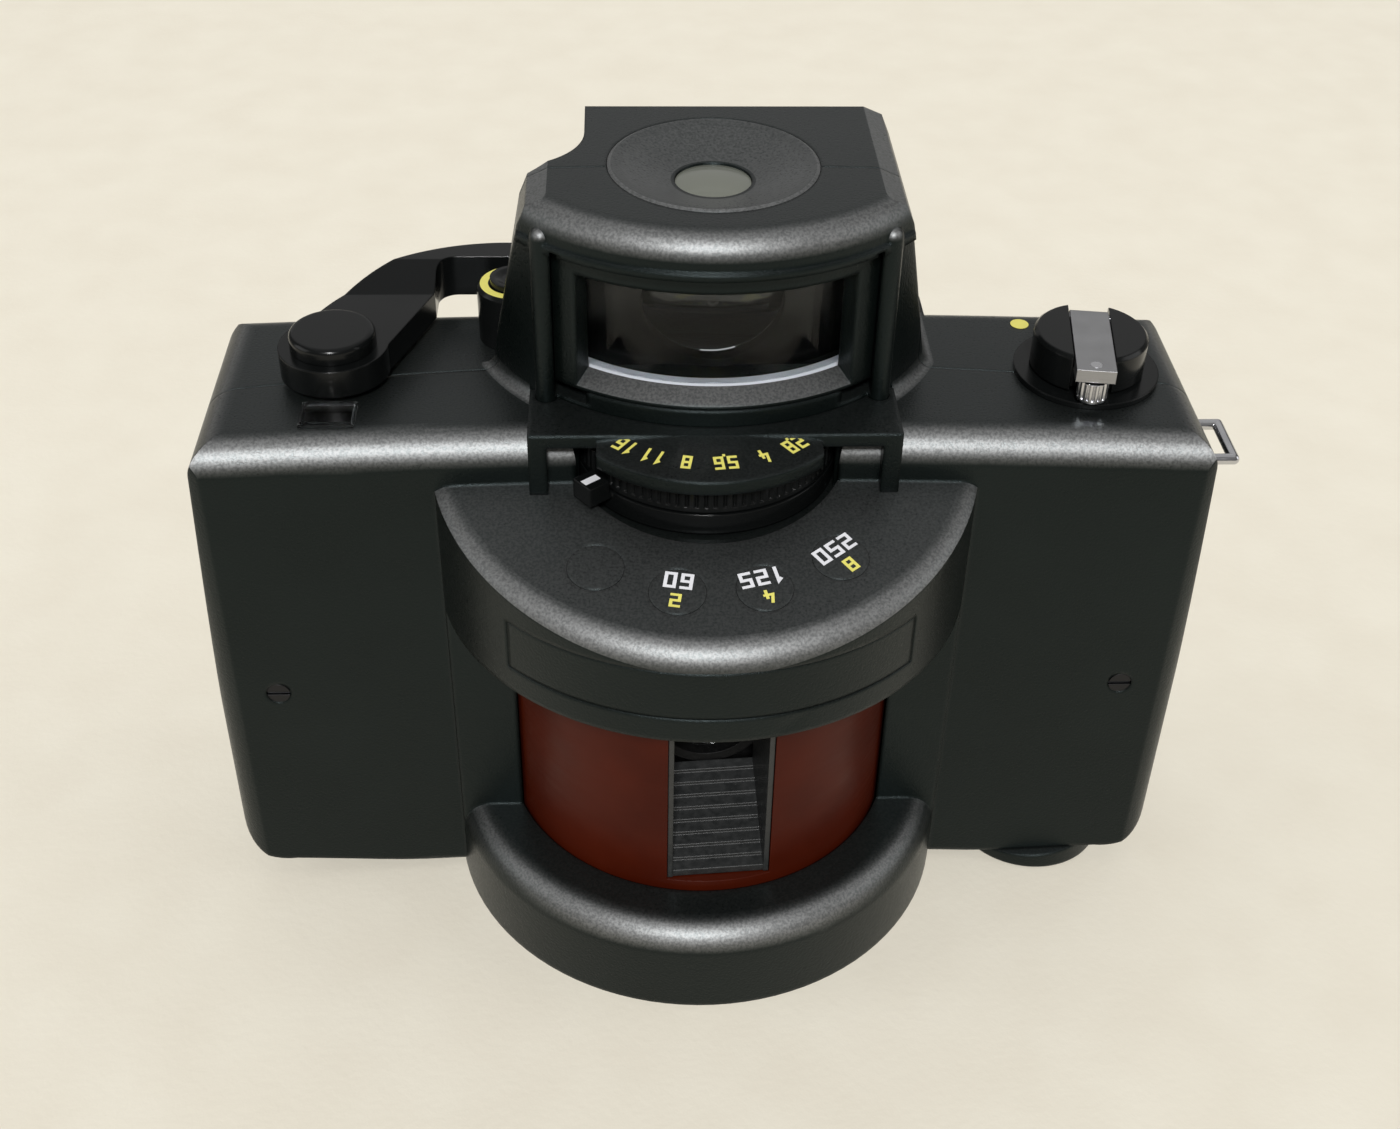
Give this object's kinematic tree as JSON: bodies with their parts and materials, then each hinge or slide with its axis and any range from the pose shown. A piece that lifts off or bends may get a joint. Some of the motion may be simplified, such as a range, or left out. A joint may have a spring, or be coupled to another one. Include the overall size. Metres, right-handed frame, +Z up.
{
  "type": "panoramic camera",
  "caption": "Swing-lens panoramic film camera with a turning slit drum, curved film gate, optical finder, wind lever, release button and folding rewind crank.",
  "frame": {"origin": "mouth of the tripod bush in the base, on the axis of the lens drum", "axes": "+Z up from the base along the drum axis, -Y the way the lens looks at mid swing, +X along the wings to the rewind side"},
  "size_m": [0.1514, 0.074, 0.1173],
  "materials": {
    "casing_black": "black moulded plastic with a fine grain",
    "gloss_black": "smooth black plastic",
    "ring_black": "black plastic, knurled edge",
    "strip_black": "smooth bare black inlay",
    "gate_black": "dull black, anti-reflection",
    "chassis_grey": "die casting, dull dark paint",
    "drum_brown": "satin red-brown lacquer",
    "eyecup_rubber": "soft black",
    "clear_lens": "polished",
    "brass": "turned",
    "steel": "turned",
    "chrome": "bright plated wire",
    "aluminium": "satin",
    "crank_grey": "satin grey",
    "dark_screw": "blackened",
    "counter_black": "dull black disc with light marks"
  },
  "bodies": {
    "casing": {"front_shell": "casing_black", "rear_shell": "casing_black", "hinge_pin": "steel", "chassis": "chassis_grey", "film_gate": "gate_black", "lower_bearing": "brass", "upper_bearing": "brass", "tripod_bush": "brass", "base_foot": "casing_black", "strap_staple": "chrome", "front_screws": "dark_screw", "name_strip": "strip_black", "speed_marks": "strip_black", "dial_well": "casing_black", "dial_hub": "casing_black", "scale_bracket": "casing_black", "finder_bezel": "gloss_black", "finder_front_lens": "clear_lens", "finder_inner_frame": "gate_black", "finder_inner_lens": "clear_lens", "eyepiece_ring": "eyecup_rubber", "eyepiece_lens": "clear_lens", "level_dish": "gloss_black", "level_vial": "clear_lens", "barrel_axle": "steel", "counter_window": "clear_lens", "release_collar": "gloss_black", "release_spring": "steel", "rewind_collar": "gloss_black"},
    "drum": {"drum_shell": "drum_brown", "drum_baffle": "gate_black", "lens_barrel": "gate_black", "lens_front": "clear_lens", "lens_rear": "clear_lens", "light_chute": "gate_black", "drum_journals": "steel", "drum_gear": "brass"},
    "barrel": {"spring_barrel": "brass"},
    "aperture": {"aperture_ring": "ring_black"},
    "speed": {"speed_ring": "ring_black"},
    "wind": {"wind_lever": "gloss_black", "wind_cap": "gloss_black", "wind_shaft": "steel"},
    "take_up": {"take_up_spool": "gloss_black"},
    "sprocket": {"film_sprocket": "aluminium"},
    "counter": {"counter_dial": "counter_black"},
    "release": {"release_button": "gloss_black"},
    "catch": {"door_catch": "steel"},
    "rewind": {"rewind_knob": "gloss_black", "rewind_shaft": "steel", "crank_pin": "steel"},
    "crank": {"rewind_crank": "crank_grey"},
    "grip": {"crank_grip": "aluminium"},
    "roller": {"film_roller": "aluminium"},
    "door": {"back_door": "casing_black"},
    "base_button": {"rewind_release_button": "gloss_black"}
  },
  "joints": [
    {"name": "drum_swing", "type": "hinge", "parent": "casing", "child": "drum", "pos_m": [0, 0, 0.036], "axis": [0, 0, 1], "range_deg": [-87, 79]},
    {"name": "barrel_turn", "type": "hinge", "parent": "casing", "child": "barrel", "pos_m": [0.02492, 0.00907, 0.008], "axis": [0, 0, 1], "range_deg": [-95, 105]},
    {"name": "aperture_turn", "type": "hinge", "parent": "casing", "child": "aperture", "pos_m": [0, 0, 0.0815], "axis": [0, 0, 1], "range_deg": [0, 80]},
    {"name": "speed_turn", "type": "hinge", "parent": "casing", "child": "speed", "pos_m": [0, 0, 0.0774], "axis": [0, 0, 1], "range_deg": [0, 88]},
    {"name": "wind_swing", "type": "hinge", "parent": "casing", "child": "wind", "pos_m": [-0.0534, 0.0073, 0.0887], "axis": [0, 0, 1], "range_deg": [0, 130], "stiffness_Nm_per_rad": 0.02},
    {"name": "take_up_turn", "type": "hinge", "parent": "casing", "child": "take_up", "pos_m": [-0.0534, 0.0073, 0.0356], "axis": [0, 0, 1], "range_deg": [0, 507]},
    {"name": "sprocket_turn", "type": "hinge", "parent": "casing", "child": "sprocket", "pos_m": [-0.0378, 0.0155, 0.0356], "axis": [0, 0, 1], "range_deg": [0, 585]},
    {"name": "counter_turn", "type": "hinge", "parent": "casing", "child": "counter", "pos_m": [-0.0534, 0.0073, 0.082], "axis": [0, 0, 1], "range_deg": [0, 10]},
    {"name": "release_press", "type": "slide", "parent": "casing", "child": "release", "axis": [0, 0, -1], "range_m": [0, 0.002], "stiffness_N_per_m": 300, "deforming": ["release_spring"]},
    {"name": "rewind_lift", "type": "slide", "parent": "casing", "child": "catch", "axis": [0, 0, 1], "range_m": [0, 0.005]},
    {"name": "rewind_turn", "type": "hinge", "parent": "catch", "child": "rewind", "pos_m": [0.0565, 0.0075, 0.089], "axis": [0, 0, 1], "continuous": true},
    {"name": "crank_fold", "type": "hinge", "parent": "rewind", "child": "crank", "pos_m": [0.05727, 0.01295, 0.0913], "axis": [-0.9903, 0.1392, 0], "range_deg": [0, 165]},
    {"name": "grip_spin", "type": "hinge", "parent": "crank", "child": "grip", "pos_m": [0.05518, -0.00191, 0.0886], "axis": [0, 0, 1], "continuous": true},
    {"name": "roller_turn", "type": "hinge", "parent": "casing", "child": "roller", "pos_m": [0.0378, 0.0155, 0.0356], "axis": [0, 0, 1], "continuous": true},
    {"name": "door_swing", "type": "hinge", "parent": "casing", "child": "door", "pos_m": [-0.06725, 0.0274, 0.041], "axis": [0, 0, 1], "range_deg": [0, 110]},
    {"name": "rewind_release_press", "type": "slide", "parent": "casing", "child": "base_button", "axis": [0, 0, 1], "range_m": [0, 0.0015], "stiffness_N_per_m": 300}
  ],
  "couplings": [
    {"joint": "barrel_turn", "follows": "drum_swing", "ratio": -1.2},
    {"joint": "take_up_turn", "follows": "wind_swing", "ratio": 3.9},
    {"joint": "sprocket_turn", "follows": "wind_swing", "ratio": 4.5},
    {"joint": "counter_turn", "follows": "wind_swing", "ratio": 0.07}
  ]
}
